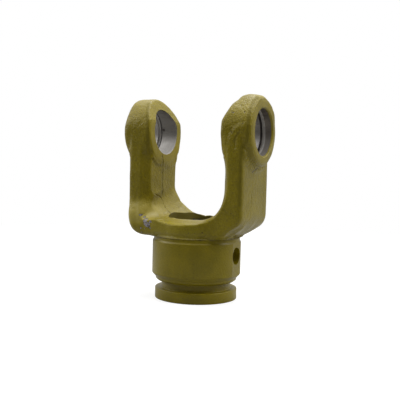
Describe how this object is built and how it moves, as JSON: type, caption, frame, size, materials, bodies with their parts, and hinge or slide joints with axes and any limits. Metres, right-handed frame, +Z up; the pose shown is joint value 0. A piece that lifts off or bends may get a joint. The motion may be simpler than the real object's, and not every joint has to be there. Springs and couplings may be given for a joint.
{
  "type": "universal joint tube yoke",
  "caption": "Forged fork with a tube socket in its hub and a bored ear on each arm, which joins a profiled drive tube to the cross of a universal joint.",
  "frame": {"origin": "centre of the flange's bottom face, on the shaft axis", "axes": "+Z up the shaft axis from the flange to the ears, +X along the axis of the two ear bores"},
  "size_m": [0.082, 0.0526, 0.1178],
  "materials": {
    "paint": "satin olive paint over forged steel"
  },
  "bodies": {
    "root": {"yoke": "paint"}
  },
  "joints": []
}
